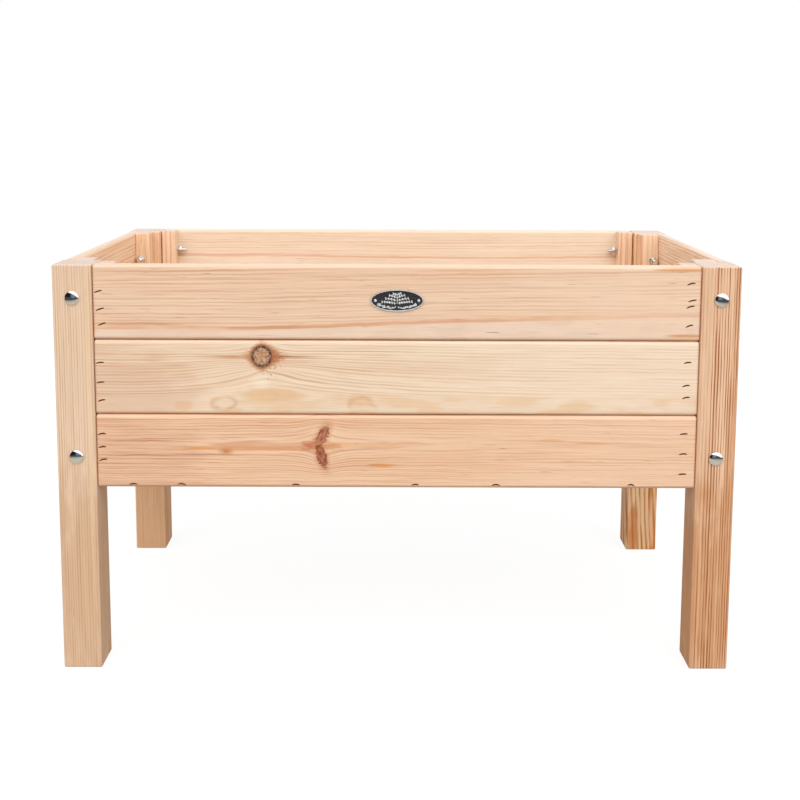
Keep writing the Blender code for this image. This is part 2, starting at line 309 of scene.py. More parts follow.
def ringedKnot(place, along, across, knot, colour):
    # A dead branch cut across: cracked core, broken bark ring, and a stained diamond round it.
    l, w, a, b = knot["at"] + knot["half"]
    rag = noise(stretch(place, (300, 300, 300), (3, 7, 1)), detail=3, rough=0.6) - 0.5
    fine = noise(stretch(place, (700, 700, 700), (9, 2, 4)), detail=3, rough=0.6) - 0.5
    fibres = noise(stretch(place, (110, 620, 300), (5, 1, 9)), detail=3, rough=0.6) - 0.5
    q = ellipse(along, across, l, w, a, b).root() + rag * 0.42
    dl, dw = along - l, across - w

    # Stain: pointed along the grain, redder on the far side, with dark specks.
    side = (dl * (1 / (a * 2.9))).calc("MAXIMUM", dl * (-1 / (a * 2.1)))
    diamond = side + (dw * (1 / (b * 1.58))).size() + fibres * 1.1
    colour = blend(diamond.rise(1.15, 0.66) * 0.95, colour, knotTones["halo"])
    redder = (dl * (1 / a)).rise(0.2, 1.4) * diamond.rise(1.0, 0.6)
    colour = blend(redder * (fine * 2.4 + 0.55).rise(0.2, 0.9) * 0.75, colour, knotTones["haloDark"])
    for tl, tw, ta, tb, tone, amount in knot["tails"]:
        strip = ellipse(along, across, tl, tw, ta, tb) + fibres * 0.5
        colour = blend(strip.calc("MAXIMUM", 0.0).fall() * amount, colour, tone)
    near = q.rise(1.50, 1.02) * (fibres * 1.6 + 0.75)
    colour = blend(near.calc("MINIMUM", 1.0) * 0.75, colour, knotTones["haloDark"])

    # Specks of resin that run out from the bark on the lower far side.
    turn = dw.calc("ARCTAN2", dl)
    specks = noise(gather(turn * 11.0, q * 3.2, q * 0 + 4.0), detail=2, rough=0.6)
    fan = (turn + 0.75).size().rise(1.05, 0.45) * q.rise(1.05, 1.30) * q.rise(2.7, 1.7)
    colour = blend(specks.rise(0.56, 0.66) * fan * 0.75, colour, knotTones["haloDark"])

    # Core with radial checks, honey coloured in the middle.
    core = blend((rag + 0.5).rise(0.40, 0.62), knotTones["core"], knotTones["corePale"])
    core = blend(q.rise(0.75, 0.15) * 0.55, core, knotTones["heart"])
    check = (turn * 2.5 + rag * 5.0 + 0.9).calc("SINE").size().rise(0.22, 0.02)
    core = blend(check * q.rise(0.10, 0.50) * 0.85, core, knotTones["coreDark"])
    core = blend((rag * -1.0).rise(0.06, 0.20) * 0.7, core, knotTones["coreDark"])
    colour = blend(q.rise(1.0, 0.92), colour, core)
    broken = (rag + 0.5).rise(0.38, 0.58)
    band = q.rise(0.74, 0.90) * q.rise(1.16, 1.0)
    colour = blend(band * (broken * 0.75 + 0.18), colour, knotTones["ring"])
    return colour, q.rise(1.15, 0.95), band


def spikeKnot(place, along, across, knot, colour):
    # A branch cut along its length: lobes with feathered ends and a stain where they meet.
    fibres = noise(stretch(place, (90, 620, 300), (4, 2, 8)), detail=3, rough=0.7) - 0.5
    cover, rims = None, None
    for l, w, a, b, tone, amount in knot["tonePatches"]:
        q = ellipse(along, across, l, w, a, b).root() + fibres * 2.4
        colour = blend(q.rise(1.30, 0.35) * amount, colour, tone)
    for l, w, a, b, turn, dull in knot["lobes"]:
        c, s = math.cos(math.radians(turn)), math.sin(math.radians(turn))
        ahead = (along - l) * c + (across - w) * s
        aside = (across - w) * c - (along - l) * s
        lay = gather(ahead * 150, aside * 620, aside * 0 + l * 90)
        streaks = noise(lay, detail=3, rough=0.65)
        q = ellipse(along, across, l, w, a, b, turn).root() + fibres * 1.5
        lobe = q.rise(1.15, 0.88)
        rim = q.rise(0.50, 0.90)
        tone = blend(streaks.rise(0.40, 0.60), knotTones["spike"], knotTones["spikeDark"])
        tone = blend(rim * 0.55 + dull, tone, knotTones["spikeDark"])
        colour = blend(q.rise(2.0, 1.0) * 0.50, colour, knotTones["spikeHalo"])
        colour = blend(lobe * 0.95, colour, tone)
        cover = lobe if cover is None else cover.calc("MAXIMUM", lobe)
        rims = rim * lobe if rims is None else rims.calc("MAXIMUM", rim * lobe)
    return colour, cover, rims


def pinKnot(place, along, across, knot, colour):
    l, w, a, b = knot["at"] + knot["half"]
    fibres = noise(stretch(place, (90, 700, 300), (6, 3, 2)), detail=2) - 0.5
    q = ellipse(along, across, l, w, a, b).root() + fibres * 0.8
    colour = blend(q.rise(2.8, 0.9) * 0.55, colour, knotTones["halo"])
    colour = blend(q.rise(1.2, 0.4) * 0.85, colour, knotTones["pin"])
    return colour, q.rise(1.1, 0.6), q.rise(1.2, 0.4)


knotMakers = {"ringed": ringedKnot, "spike": spikeKnot, "pin": pinKnot}


def makeWood(name, look, half):
    look = {**pine, **look}
    draw = random.Random(name)
    shift = tuple(draw.uniform(-40, 40) for _ in range(3))
    material, tree, shader = newMaterial(name)
    place = objectPlace(tree)
    along, across, deep = split(place)

    # Grain: the face's own lines, parted and pulled round the knots.
    slow = noise(stretch(place, (2.1, 8, 8), shift), detail=1.5)
    small = noise(stretch(place, (24, 50, 50), shift), detail=2.5, rough=0.6)
    lifted = across
    for bulge in look["bulges"]:
        lifted = lifted - partGrain(along, across, bulge)
    for push in look["pushes"]:
        lifted = lifted - pushGrain(along, across, push)
    grain = lifted + (slow - 0.5) * (2 * look["wander"]) + (small - 0.5) * (2 * look["wiggle"])

    # Years: distance from the pith, which wanders and sinks away from the face.
    pithAcross, pithDeep = look["pith"]
    nearest, sinking, soon = look["drop"]
    offAcross = grain - (along * look["lean"] + pithAcross)
    offDeep = deep - ((along - nearest).size() * (1 / soon)).fall() * sinking + (sinking - pithDeep)
    radius = (offAcross.squared() + offDeep.squared()).root()
    years = radius * (1 / look["ring"])
    years = years + lineNoise(years * 0.45 + shift[0], detail=2) * look["uneven"]
    year = years.calc("FLOOR")
    part = years - year
    strong = chance(year + shift[1]) * (1 - look["even"]) + look["even"]
    flow = gather(along, grain, deep)
    breaks = noise(stretch(flow, (11, 150, 90), shift), detail=2, rough=0.6)
    late = part.rise(0.30, 0.86) * part.rise(1.0, 0.86) * strong * breaks.rise(0.22, 0.60)
    streaks = noise(stretch(flow, (5, 420, 260), shift[::-1]), detail=3, rough=0.65)
    lines = late * look["contrast"] + (streaks.rise(0.34, 0.66) - 0.5) * look["streaks"]

    # Bands along the piece calm the lines and change the tone.
    drift = noise(stretch(flow, (1.6, 30, 20), shift[::-1]), detail=3)
    colour = blend(drift.rise(0.36, 0.66) * look["drift"], look["pale"], look["warm"])
    patches = noise(stretch(place, (22, 75, 60), shift), detail=2)
    slide = along.calc("MAXIMUM", look["bend"]) - look["bend"]
    for level, slope, soft, wide, tone, otherTone, amount, calm in look["zones"]:
        up = lifted - (slide * slope + level) + (slow - 0.5) * 0.005 + (small - 0.5) * 0.0015
        mask = up.rise(-soft, soft) if wide > 0 else up.rise(soft, -soft)
        if abs(wide) < 1:
            far = up - wide
            mask = mask * (far.rise(soft * 2, -soft * 2) if wide > 0 else far.rise(-soft * 2, soft * 2))
        colour = blend(mask * amount, colour, blend(patches.rise(0.42, 0.60), tone, otherTone))
        lines = lines * (mask * -calm + 1)
    fadeFrom, fadeTo, fade = look["quiet"]
    if fade:
        lines = lines * (along.rise(fadeFrom, fadeTo) * -fade + 1)
    # Broad soft patches of tone. On the front boards they make the right ends paler and, on the middle and
    # bottom boards, the left ends darker; on three of the legs they make the lower part darker.
    for l, w, a, b, tone, amount in look["tonePatches"]:
        q = ellipse(along, across, l, w, a, b) + (patches - 0.5) * 2.4
        colour = blend(q.rise(1.5, 0.2) * amount, colour, tone)
    colour = blend(lines.calc("MAXIMUM", 0.0), colour, look["dark"])
    colour = blend((lines * -1.0).calc("MAXIMUM", 0.0), colour, look["pale"])

    for l, w, a, b, amount in look["eyes"]:
        q = ellipse(along, across, l, w, a, b).root() + (small - 0.5) * 1.8 + (slow - 0.5) * 1.5
        rings = q.rise(0.45, 0.95) * q.rise(1.35, 1.00)
        colour = blend(rings * breaks.rise(0.34, 0.58) * amount, colour, look["dark"])

    # Streaks of resin and tone that follow the grain.
    fibres = noise(stretch(flow, (26, 900, 700), shift), detail=3, rough=0.65)
    for l, g, a, b, tone, amount in look["marks"]:
        q = ellipse(along, grain, l, g, a, b) + (fibres - 0.5) * 2.4
        colour = blend(q.rise(1.7, 0.2) * amount, colour, tone)

    # Fine fibres and short dark resin dashes.
    lift = (fibres - 0.5) * (2 * look["fibre"]) + 1
    colour = blend(1.0, colour, gather(lift, lift, lift), "MULTIPLY")
    dash = noise(stretch(flow, (34, 640, 500), shift[::-1]), detail=1.5).rise(0.66, 0.80)
    colour = blend(dash * look["dashes"], colour, look["dashTone"])

    smooth, dents = None, None
    for knot in look["knots"]:
        made = knotMakers[knot["kind"]](place, along, across, knot, colour)
        colour = made[0]
        smooth = made[1] if smooth is None else smooth.calc("MAXIMUM", made[1])
        dents = made[2] if dents is None else dents.calc("MAXIMUM", made[2])

    # Planed edges: a painted highlight where they catch the light, and painted shade where they sit down in
    # the joints and at the ends against the legs.
    if look["edges"]:
        # Painted highlight along the rounded upper edge, broken by the grain streaks.
        crest = across.rise(half.y - 0.0044, half.y - 0.0028) * across.rise(half.y, half.y - 0.0010)
        crest = crest * (streaks * 0.9 + 0.05)
        colour = blend(crest * look["edges"], colour, look["paintedCrestHighlight"])
        joint = across.rise(-half.y + 0.0036, -half.y + 0.0004)
        upper = across.rise(half.y - 0.0010, half.y)
        # The top board's upper face is given a paler, greyer tone.
        if look["rim"]:
            colour = blend(upper * look["rim"], colour, look["rimTone"])
        else:
            # Below the top board the upper face sits in a joint, so it gets painted shade too.
            joint = joint.calc("MAXIMUM", upper)
        joint = joint.calc("MAXIMUM", along.size().rise(half.x - 0.0030, half.x - 0.0004))
        colour = blend(joint * look["edges"], colour, look["jointShade"], "MULTIPLY")

    # Sawn ends show the rings and open pores.
    end = along.size().rise(half.x - 0.0012, half.x - 0.0003) * (0.9 if look["edges"] == 0 else 0.3)
    endTone = blend(late * 0.9, look["endPale"], look["endDark"])
    pores = noise(stretch(place, (700, 700, 700), shift), detail=2)
    endTone = blend(pores.rise(0.48, 0.70) * 0.30, endTone, look["endDark"])
    colour = blend(end, colour, endTone)
    plug(shader.inputs["Base Color"], colour)

    rough = (fibres - 0.5) * 0.20 - late * 0.08 + look["rough"]
    height = fibres * 0.6 + late * 0.5 - dash * 0.4
    if smooth is not None:
        rough = rough - smooth * 0.12
        height = height - smooth * 0.2 - dents * 1.2
    plug(shader.inputs["Roughness"], rough)
    shader.inputs["Specular IOR Level"].default_value = 0.30
    addBump(shader, height, look["bump"], 0.0004)
    return material


# Looks of the pieces that show most.

sawnPale = paint(238, 222, 212)
orange = paint(224, 150, 84)
amber = paint(226, 168, 114)
salmon = paint(220, 160, 122)

looks = {
    "front_board_top": {
        "edges": 0.75,
        "even": 0.55,
        "quiet": (0.05, 0.20, 0.30),
        "pale": paint(243, 211, 182),
        "warm": paint(236, 194, 160),
        "dark": paint(200, 138, 96),
        "bend": -0.17,
        "pith": (0.180, -0.030),
        "lean": 0.016,
        "wander": 0.006,
        "contrast": 0.42,
        "dashes": 0.55,
        "zones": [
            (-0.0262, 0.032, 0.0014, -0.0062, paint(222, 160, 116), paint(232, 184, 144), 0.60, 0.1),
            (-0.0316, 0.032, 0.0006, -2, paint(240, 212, 188), paint(236, 206, 182), 0.90, 0.9),
        ],
        "marks": [
            (0.325, 0.0400, 0.030, 0.0026, paint(216, 144, 84), 0.85),
            (0.334, -0.0372, 0.026, 0.0020, paint(214, 148, 86), 0.85),
            (-0.130, -0.0275, 0.070, 0.0016, paint(206, 140, 92), 0.55),
            (-0.295, -0.0240, 0.050, 0.0016, paint(202, 138, 98), 0.55),
            (-0.070, 0.0280, 0.020, 0.0014, salmon, 0.40),
        ],
        "tonePatches": [(0.30, 0.005, 0.12, 0.04, paint(246, 212, 182), 0.6)],
    },
    "front_board_middle": {
        "pale": paint(246, 222, 194),
        "warm": paint(238, 206, 176),
        "dark": paint(204, 150, 104),
        "pith": (0.200, -0.040),
        "lean": -0.010,
        "ring": 0.0036,
        "contrast": 0.78,
        "streaks": 0.34,
        "dashes": 0.15,
        "edges": 0.55,
        "even": 0.55,
        "quiet": (-0.04, 0.10, 0.50),
        "pushes": [
            (-0.156, 0.0065, 0.021, 0.055, 0.085, 0.028, 0.0110),
            (-0.150, 0.0110, 0.011, 0.024, 0.034, 0.014, 0.0060),
        ],
        "bulges": [(-0.155, 0.0249, 0.75, 0.024, 0.017)],
        "zones": [
            (-0.0245, 0.004, 0.0040, -2, paint(240, 214, 186), paint(234, 196, 154), 0.65, 0.85),
        ],
        "tonePatches": [
            (-0.1436, -0.0205, 0.034, 0.0080, paint(230, 186, 138), 0.70),
            (-0.1565, -0.0040, 0.013, 0.0090, paint(248, 228, 202), 0.80),
            (-0.0430, -0.0260, 0.016, 0.0080, paint(232, 190, 146), 0.60),
            (-0.2460, -0.0330, 0.012, 0.0060, paint(232, 182, 138), 0.60),
            (-0.3100, -0.0100, 0.080, 0.0400, paint(226, 188, 160), 0.65),
            (0.2500, 0.0100, 0.150, 0.0400, paint(248, 225, 200), 0.60),
        ],
        "eyes": [
            (-0.1976, -0.0310, 0.0125, 0.0078, 0.40),
            (-0.0400, -0.0340, 0.0150, 0.0120, 0.32),
        ],
        "marks": [(-0.120, 0.0120, 0.020, 0.004, salmon, 0.30)],
        "knots": [{
            "kind": "ringed",
            "at": (-0.155, 0.0249),
            "half": (0.0112, 0.0122),
            "tails": [
                (-0.188, 0.0244, 0.026, 0.0021, paint(204, 150, 106), 0.90),
                (-0.122, 0.0246, 0.026, 0.0013, paint(158, 106, 72), 0.75),
            ],
        }],
    },
    "front_board_bottom": {
        "pale": paint(243, 204, 169),
        "warm": paint(234, 188, 150),
        "dark": paint(202, 130, 90),
        "edges": 0.55,
        "even": 0.60,
        "quiet": (-0.04, 0.10, 0.40),
        "pith": (0.0085, -0.0035),
        "drop": (-0.086, 0.0060, 0.16),
        "tonePatches": [
            (-0.30, -0.010, 0.080, 0.050, paint(226, 180, 148), 0.60),
            (0.26, 0.000, 0.150, 0.060, paint(246, 208, 176), 0.65),
        ],
        "ring": 0.0025,
        "contrast": 0.62,
        "streaks": 0.50,
        "wander": 0.004,
        "wiggle": 0.0016,
        "dashes": 0.45,
        "bulges": [(-0.086, 0.0075, 0.62, 0.020, 0.024)],
        "marks": [
            (-0.294, 0.0118, 0.055, 0.0006, paint(176, 112, 74), 0.75),
            (-0.270, -0.0047, 0.085, 0.0006, paint(176, 112, 74), 0.75),
            (-0.228, 0.0034, 0.017, 0.0017, orange, 1.0),
            (-0.190, 0.0040, 0.080, 0.0030, amber, 0.55),
            (-0.150, 0.0040, 0.060, 0.0028, paint(222, 156, 112), 0.65),
            (-0.120, 0.0070, 0.030, 0.0040, salmon, 0.55),
            (-0.018, -0.0170, 0.017, 0.0018, orange, 0.95),
            (-0.045, -0.0120, 0.030, 0.0010, amber, 0.55),
            (-0.040, 0.0080, 0.050, 0.0030, amber, 0.45),
            (0.180, 0.0130, 0.016, 0.0020, amber, 0.70),
            (0.225, 0.0100, 0.018, 0.0011, orange, 0.50),
        ],
        "knots": [
            {
                "kind": "spike",
                "tonePatches": [
                    (-0.0980, 0.0072, 0.0130, 0.0058, paint(200, 122, 84), 0.95),
                    (-0.0760, 0.0064, 0.0160, 0.0044, paint(216, 150, 102), 0.75),
                ],
                "lobes": [
                    (-0.0862, 0.0180, 0.0142, 0.0058, 64, 0.0),
                    (-0.0868, -0.0050, 0.0142, 0.0056, -74, 0.25),
                ],
            },
            {
                "kind": "pin",
                "at": (-0.1972, 0.0004),
                "half": (0.0044, 0.0024),
            },
        ],
    },
    "leg_front_left": {
        "pale": paint(237, 206, 176),
        "warm": paint(228, 190, 156),
        "dark": paint(188, 136, 94),
        "drift": 0.4,
        "pith": (0.080, 0.060),
        "ring": 0.0021,
        "uneven": 0.35,
        "even": 0.65,
        "wander": 0.0015,
        "wiggle": 0.0003,
        "contrast": 0.62,
        "streaks": 0.30,
        "tonePatches": [(-0.14, 0.0, 0.14, 0.05, paint(214, 174, 138), 0.75)],
        "marks": [(0.10, 0.0165, 0.25, 0.0014, paint(240, 208, 160), 0.7)],
        "endPale": sawnPale,
    },
    "leg_front_right": {
        "pale": paint(242, 200, 164),
        "warm": paint(230, 180, 138),
        "dark": paint(162, 94, 50),
        "bend": -0.08,
        "pith": (-0.060, 0.050),
        "ring": 0.0021,
        "uneven": 0.7,
        "even": 0.50,
        "wander": 0.002,
        "wiggle": 0.0006,
        "contrast": 1.45,
        "tonePatches": [
            (-0.15, 0.0, 0.14, 0.05, paint(206, 146, 98), 0.75),
            (0.02, 0.018, 0.12, 0.006, paint(204, 138, 88), 0.55),
        ],
        "streaks": 0.55,
        "zones": [(-0.0170, 0.034, 0.0024, -2, paint(234, 196, 162), paint(230, 188, 152), 0.60, 0.72)],
        "endPale": sawnPale,
    },
    "leg_back_left": {
        "pale": paint(250, 216, 182),
        "warm": paint(242, 200, 162),
        "dark": paint(214, 154, 106),
        "tonePatches": [(-0.20, 0.0, 0.22, 0.05, paint(232, 184, 140), 0.95)],
        "endPale": sawnPale,
    },
    "leg_back_right": {
        "pale": paint(252, 218, 176),
        "warm": paint(242, 192, 136),
        "dark": paint(206, 118, 46),
        "pith": (0.002, -0.014),
        "drop": (-0.30, 0.020, 0.16),
        "lean": -0.07,
        "ring": 0.0068,
        "uneven": 0.5,
        "even": 0.7,
        "contrast": 1.5,
        "tonePatches": [(-0.225, -0.013, 0.050, 0.0085, paint(208, 122, 50), 0.80)],
        "endPale": sawnPale,
    },
    "back_board_top": {
        "edges": 0.5,
        "pale": paint(247, 229, 207),
        "warm": paint(243, 219, 193),
        "dark": paint(220, 178, 136),
        "contrast": 0.55,
        "streaks": 0.30,
        "marks": [(-0.30, 0.006, 0.20, 0.0016, salmon, 0.5), (0.10, 0.004, 0.30, 0.0016, salmon, 0.5)],
    },
    "left_board_top": {
        "edges": 0.5,
        "pale": paint(251, 222, 191),
        "warm": paint(246, 208, 171),
        "dark": paint(206, 136, 84),
        "ring": 0.0050,
        "contrast": 0.65,
    },
    "right_board_top": {
        "edges": 0.5,
        "pale": paint(254, 232, 206),
        "warm": paint(251, 218, 184),
        "dark": paint(210, 134, 82),
        "ring": 0.0036,
        "even": 0.6,
        "contrast": 0.85,
    },
}
for corner in ("left", "right"):
    for name in (f"back_wall_batten_{corner}", f"{corner}_wall_batten_back"):
        looks[name] = {
            "pale": paint(250, 222, 192),
            "warm": paint(242, 204, 166),
            "dark": paint(216, 152, 102),
            "pith": (0.030, 0.040),
            "contrast": 0.9,
            "endPale": sawnPale,
        }

# Other pieces draw their cut of the log from these.
cuts = {
    "board": {
        "pith": [(0.16, -0.03), (-0.15, -0.02), (0.01, -0.03), (-0.012, -0.022), (0.05, -0.04)],
        "pale": [paint(243, 214, 186), paint(238, 204, 172), paint(245, 220, 194)],
        "dark": [paint(208, 160, 118), paint(200, 146, 102), paint(212, 170, 130)],
    },
    "leg": {
        "pith": [(0.07, 0.05), (-0.06, 0.04)],
        "pale": [paint(236, 192, 152)],
        "dark": [paint(180, 120, 76)],
    },
}


def lookFor(node, kind):
    rim = {"rim": 0.75} if node.endswith("_board_top") else {}
    if node in looks:
        return {**looks[node], **rim}
    draw = random.Random("look " + node)
    cut = cuts["leg" if kind == "leg" else "board"]
    return {
        "pith": draw.choice(cut["pith"]),
        "pale": draw.choice(cut["pale"]),
        "dark": draw.choice(cut["dark"]),
        "lean": draw.uniform(-0.02, 0.02),
        "drop": (draw.uniform(-0.2, 0.2), draw.uniform(0.0, 0.012), 0.2),
        "edges": 0.6 if "_board_" in node and "floor" not in node else 0.0,
        **rim,
        "ring": draw.uniform(0.0034, 0.0048),
        "contrast": draw.uniform(0.45, 0.7),
        "endPale": sawnPale if kind != "board" else pine["endPale"],
    }


# Mesh helpers.

def addPiece(name, mesh, matrix, node, material):
    piece = bpy.data.objects.new(name, mesh)
    piece.matrix_world = matrix
    planter.objects.link(piece)
    if material is not None:
        mesh.materials.clear()
        mesh.materials.append(material)
    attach(piece, "root")
    if node:
        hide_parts(node)
    return piece


def bakeModifiers(obj):
    bpy.context.view_layer.update()
    shape = obj.evaluated_get(bpy.context.evaluated_depsgraph_get())
    mesh = bpy.data.meshes.new_from_object(shape)
    obj.modifiers.clear()
    return mesh


def boxMesh(name, half, endShare=1.0):
    # The edges round each end take endShare of the rounding.
    body = bmesh.new()
    bmesh.ops.create_cube(body, size=2.0)
    weight = body.edges.layers.float.new("bevel_weight_edge")
    for edge in body.edges:
        first, second = edge.verts
        edge[weight] = 1.0 if abs(first.co.x - second.co.x) > 1 else endShare
    bmesh.ops.scale(body, vec=half, verts=body.verts)
    return finishMesh(body, name)


def finishMesh(body, name, sharp=0):
    # Turns the working mesh into a real one, smooth but for edges sharper than the angle.
    mesh = bpy.data.meshes.new(name)
    body.to_mesh(mesh)
    body.free()
    if sharp:
        mesh.shade_smooth()
        mesh.set_sharp_from_angle(angle=math.radians(sharp))
    return mesh


def ring(body, reach, height, segments, start=0.0):
    # A ring round Z, or one point where the reach is 0; both sizes may follow the angle.
    spots = []
    for i in range(segments if reach != 0 else 1):
        angle = math.tau * (i + start) / segments
        far = reach(angle) if callable(reach) else reach
        up = height(angle) if callable(height) else height
        spots.append(body.verts.new((far * math.cos(angle), far * math.sin(angle), up)))
    return spots


def skin(body, rings, segments):
    # Faces from each ring to the next, fanned where one of them is a point.
    for upper, lower in zip(rings, rings[1:]):
        for i in range(segments):
            j = (i + 1) % segments
            if len(upper) == 1:
                body.faces.new((upper[0], lower[i], lower[j]))
            elif len(lower) == 1:
                body.faces.new((upper[i], lower[0], upper[j]))
            else:
                body.faces.new((upper[i], lower[i], lower[j], upper[j]))
    bmesh.ops.recalc_face_normals(body, faces=body.faces)


def workObject(name, mesh, matrix=None):
    obj = bpy.data.objects.new(name, mesh)
    if matrix is not None:
        obj.matrix_world = matrix
    workshop.objects.link(obj)
    obj.hide_render = True
    return obj


def frameAxes(along, across):
    u, v = axisOf[along], axisOf[across]
    return Matrix((u, v, u.cross(v))).transposed().to_4x4()


def stapleCutter(spots, face, staple, draw):
    # Short arched slots sunk into the face, all in one mesh.
    body = bmesh.new()
    steps = 8
    top = face + 0.004              # well above the face, so the cut is clean
    for l, w, tilt in spots:
        rows = []
        length = staple["long"] * draw.uniform(0.92, 1.06)
        bend = staple["arch"] * draw.uniform(0.5, 1.3) * (staple["lowerArch"] if abs(w) > 0.035 else 1)
        for i in range(steps + 1):
            t = i / steps * 2 - 1
            x = l + t * length / 2
            middle = w + t * math.sin(math.radians(tilt)) * length / 2 + bend * (1 - t * t)
            half = staple["wide"] / 2 * (1 - 0.55 * abs(t) ** 3)
            floor = face - staple["deep"] * (1 - 0.35 * t * t)
            corners = ((half, top), (-half, top), (-half * 0.8, floor), (half * 0.8, floor))
            rows.append([body.verts.new((x, middle + y, z)) for y, z in corners])
        for first, second in zip(rows, rows[1:]):
            for i in range(4):
                j = (i + 1) % 4
                body.faces.new((first[i], first[j], second[j], second[i]))
        body.faces.new(rows[0])
        body.faces.new(rows[-1])
    bmesh.ops.recalc_face_normals(body, faces=body.faces)
    mesh = finishMesh(body, "staple_slots")
    # The slot walls take the dark slot material: crushed fibre with painted shade.
    mesh.polygons.foreach_set("material_index", [1] * len(mesh.polygons))
    return mesh


# Legs, boards, battens and bearers.

timber = {
    "legRound": (0.0020, 1.0),          # along the edges, and the share of it round the ends
    "boardRound": (0.0048, 0.55),
    "battenRound": (0.0010, 1.0),
    "closer": 0.0007,                   # wall boards reach this much nearer the legs
    "segments": 5,
}
staple = {
    "long": 0.0092,
    "wide": 0.0021,
    "deep": 0.0017,
    "arch": 0.0007,
    "lowerArch": 2.2,                   # how much more the row along the lower edge is arched
}

# Where the staples sit on the front boards: along and across from the middle, and their tilt.
frontStaples = {
    "top": [
        (-0.3404, 0.0121, 17), (-0.3387, -0.0086, 20), (-0.3368, -0.0257, 20),
        (0.3351, 0.0229, 14), (0.3369, 0.0036, 14), (0.3350, -0.0037, 16), (0.3343, -0.0257, 20),
    ],
    "middle": [
        (-0.3404, 0.0165, 7), (-0.3404, -0.0064, 6), (-0.3396, -0.0275, 14),
        (0.3338, 0.0188, 8), (0.3328, -0.0084, 12), (0.3333, -0.0223, 12),
    ],
    "bottom": [
        (-0.3404, 0.0200, 6), (-0.3404, 0.0044, 8), (-0.3396, -0.0105, 10),
        (0.3322, 0.0223, 3), (0.3322, -0.0019, 3), (0.3322, -0.0256, 3),
        (-0.3056, -0.0398, 2), (-0.2492, -0.0398, -6), (-0.1166, -0.0398, -3),
        (0.0218, -0.0398, 2), (0.1157, -0.0398, 0), (0.2729, -0.0398, -3),
    ],
}


def staplesFor(wall, level, halfLength):
    if wall == "front":
        return frontStaples[level]
    draw = random.Random(f"staples {wall} {level}")
    spots = []
    for end in (-1, 1):
        for height in (0.022, 0.000, -0.023):
            l = end * (halfLength - 0.0095 + draw.uniform(-0.002, 0.002))
            spots.append((l, height + draw.uniform(-0.004, 0.004), draw.uniform(-4, 18)))
    if level == "bottom":
        count = 6 if wall == "back" else 3
        for i in range(count):
            l = ((i + 0.5) / count * 2 - 1) * (halfLength - 0.03) + draw.uniform(-0.01, 0.01)
            spots.append((l, -0.0398, draw.uniform(-6, 6)))
    return spots


# Slot walls: crushed fibres, made darker still as painted shade down in the slot.
slotFibreAndShade, tree, shader = newMaterial("crushed_fibre_and_painted_shade")
place = objectPlace(tree)
fleck = noise(stretch(place, (500, 1500, 900), (0, 0, 0)), detail=2)
fleckTone = blend(fleck.rise(0.4, 0.65), paint(108, 60, 36), paint(150, 94, 62))
plug(shader.inputs["Base Color"], fleckTone)
shader.inputs["Roughness"].default_value = 0.9
shader.inputs["Specular IOR Level"].default_value = 0.1


def makeTimber(node, suffix, along, across, rounding, kind, cutters=(), slots=None, outward=1):
    low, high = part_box(node)
    turn = frameAxes(along, across)
    size = high - low
    half = Vector([abs(size.dot(turn.col[i].to_3d())) / 2 for i in range(3)])
    if suffix == "plank":
        half.x += timber["closer"]
    matrix = Matrix.Translation((low + high) / 2) @ turn
    blank = workObject(node + "_blank", boxMesh(node, half, rounding[1]), matrix)
    material = makeWood(node + "_pine", lookFor(node, kind), half)
    for tone in (material, slotFibreAndShade):
        blank.data.materials.append(tone)
    edge = blank.modifiers.new("rounded", "BEVEL")
    edge.width = rounding[0]
    edge.segments = timber["segments"]
    edge.limit_method = "WEIGHT"
    spare = []
    if slots:
        turned = [(l, w * outward, tilt * outward) for l, w, tilt in slots]
        mesh = stapleCutter(turned, half.z, staple, random.Random("slots " + node))
        for tone in (material, slotFibreAndShade):
            mesh.materials.append(tone)
        facing = matrix if outward > 0 else matrix @ Matrix.Rotation(math.pi, 4, "X")
        cutter = workObject("slots_" + node, mesh, facing)
        spare.append(cutter)
        cutters = list(cutters) + [cutter]
    for cutter in cutters:
        boolean = blank.modifiers.new("cut", "BOOLEAN")
        boolean.operation = "DIFFERENCE"
        boolean.solver = "EXACT"
        boolean.object = cutter
    normals = blank.modifiers.new("flat faces", "WEIGHTED_NORMAL")
    normals.keep_sharp = True
    blank.data.shade_smooth()
    mesh = bakeModifiers(blank)
    mesh.name = node
    for extra in [blank] + spare:
        bpy.data.objects.remove(extra, do_unlink=True)
    return addPiece(f"{node}_{suffix}", mesh, matrix, node, None)


bolt = {
    "headRadius": 0.00825,
    "headHigh": 0.0036,
    "headEdge": 0.0006,
    "radius": 0.0030,
    "neck": 0.006,
    "neckLong": 0.0037,
    "holeSlack": 0.0003,
    "neckSlack": 0.0005,
    "threadLong": 0.030,
    "pitch": 0.0010,
    "threadDeep": 0.00055,
    "washerRadius": 0.0060,
    "washerThick": 0.0016,
    "nutFlats": 0.010,
    "nutThick": 0.0050,
    "liftOff": 0.0003,
    "neckCorner": 1.32,                 # reach of the neck's eased corners, in half widths
    "shankShare": 0.93,                 # a shank is thinner than the thread rolled on it
    "chamfer": (0.0006, 0.0009),        # how deep, over how long
    "tipRadius": 0.0020,
    "runIn": 5,                         # rows over which the thread comes up
}


def boltFrame(node):
    # The bolt's own frame: origin on the leg's face, Z out through the head.
    low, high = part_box(node)
    middle = (low + high) / 2
    axis = 1 if "_face_" in node else 0
    out = Vector((0, 0, 0))
    out[axis] = 1 if middle[axis] > 0 else -1
    origin = middle.copy()
    tip = high[axis] if out[axis] > 0 else low[axis]
    origin[axis] = tip - out[axis] * (bolt["headHigh"] + bolt["liftOff"])
    up = Vector((0, 0, 1))
    turn = Matrix((up, out.cross(up), out)).transposed().to_4x4()
    return Matrix.Translation(origin) @ turn, (high - low)[axis]


